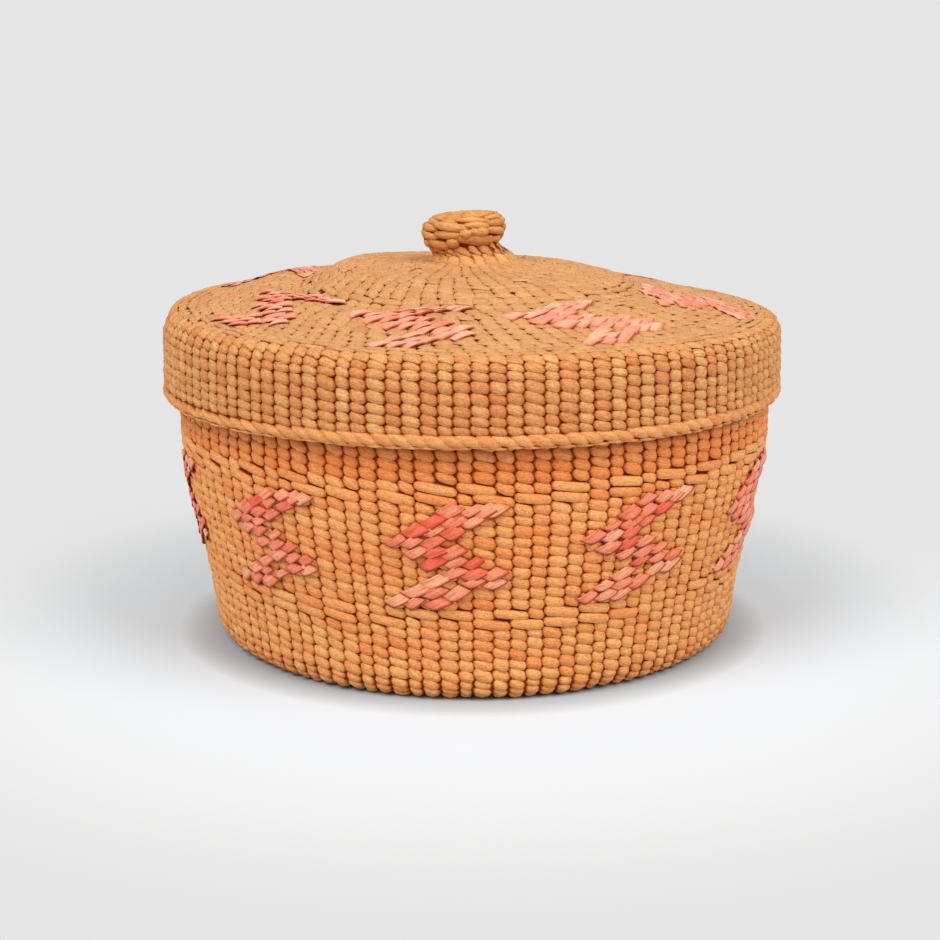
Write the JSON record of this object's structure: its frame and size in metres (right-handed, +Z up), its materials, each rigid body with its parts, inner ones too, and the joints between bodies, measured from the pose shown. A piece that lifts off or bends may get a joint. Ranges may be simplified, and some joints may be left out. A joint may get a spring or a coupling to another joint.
{
  "type": "lidded basket",
  "caption": "Round twined root basket with a flat base, a flared wall, a fitted lid with a braided lower edge, a woven knob and raised zigzag figures.",
  "frame": {"origin": "middle of the ring that the basket stands on", "axes": "+Z up along the basket's axis and the way the lid lifts off, -Y towards the viewer"},
  "size_m": [0.127, 0.127, 0.0865],
  "materials": {
    "root": "split spruce root, dry satin, warm orange tan",
    "lid_root": "split spruce root, dry satin, straw and orange strands side by side",
    "edge_root": "split spruce root, worn satin along the edge",
    "knob_root": "split spruce root, coarse strands, worn satin",
    "dyed_grass": "flat grass straw dyed coral, faded in places"
  },
  "bodies": {
    "body": {"base_start": "root", "base_courses": "root", "base_turn": "root", "wall_lower_courses": "root", "wall_lower_skip": "root", "wall_figured_courses": "root", "wall_upper_skip": "root", "wall_upper_courses": "root", "rim_edge": "edge_root", "body_figure_01": "dyed_grass", "body_figure_02": "dyed_grass", "body_figure_03": "dyed_grass", "body_figure_04": "dyed_grass", "body_figure_05": "dyed_grass", "body_figure_06": "dyed_grass", "body_figure_07": "dyed_grass", "body_figure_08": "dyed_grass", "body_figure_09": "dyed_grass", "body_figure_10": "dyed_grass"},
    "lid": {"lid_start": "lid_root", "lid_inner_courses": "lid_root", "lid_inner_skip": "lid_root", "lid_figured_courses": "lid_root", "lid_outer_skip": "lid_root", "lid_shoulder": "lid_root", "lid_flange": "lid_root", "lid_edge_braid": "edge_root", "knob_neck": "knob_root", "knob_head": "knob_root", "knob_crown": "knob_root", "knob_core": "knob_root", "lid_figure_01": "dyed_grass", "lid_figure_02": "dyed_grass", "lid_figure_03": "dyed_grass", "lid_figure_04": "dyed_grass", "lid_figure_05": "dyed_grass", "lid_figure_06": "dyed_grass", "lid_figure_07": "dyed_grass", "lid_figure_08": "dyed_grass"}
  },
  "joints": [
    {"name": "lid_lift", "type": "slide", "parent": "body", "child": "lid", "axis": [0, 0, 1], "range_m": [0, 0.1]}
  ]
}
